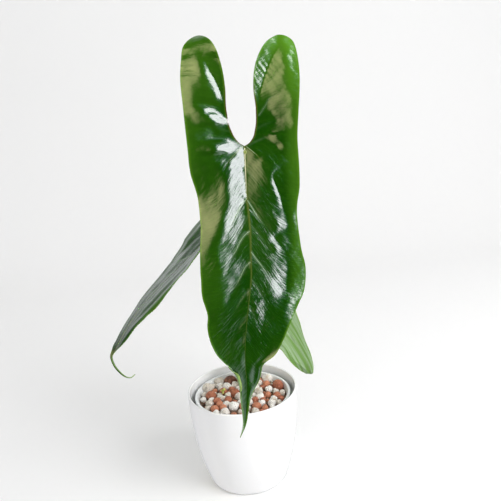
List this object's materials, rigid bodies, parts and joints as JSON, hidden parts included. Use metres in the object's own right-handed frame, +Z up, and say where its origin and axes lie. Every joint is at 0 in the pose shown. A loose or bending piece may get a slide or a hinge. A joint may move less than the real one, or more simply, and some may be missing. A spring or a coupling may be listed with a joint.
{
  "type": "potted anthurium nigrolaminum",
  "caption": "Anthurium with long hanging leaves and ear-like back lobes on thin stalks, rooted in clay pebbles and pumice in a thin nursery pot inside a white tapered cover pot.",
  "frame": {"origin": "centre of the cover pot's flat underside", "axes": "+Z up along the pots' common axis, -Y towards the side that the largest leaf faces, +X to the right when seen from there"},
  "size_m": [0.235, 0.2192, 0.4904],
  "materials": {
    "cover_pot": "gloss",
    "nursery_pot": "satin",
    "mix": "matte",
    "stem": "satin",
    "petiole": "satin",
    "sheath": "matte",
    "blade": "satin"
  },
  "bodies": {
    "root": {"cover_pot": "cover_pot", "nursery_pot": "nursery_pot", "potting_mix": "mix", "stem": "stem", "petiole_front": "petiole", "petiole_left": "petiole", "petiole_right": "petiole", "sheath_1": "sheath", "sheath_2": "sheath", "sheath_3": "sheath", "leaf_front": "blade", "leaf_left": "blade", "leaf_right": "blade"}
  },
  "joints": []
}
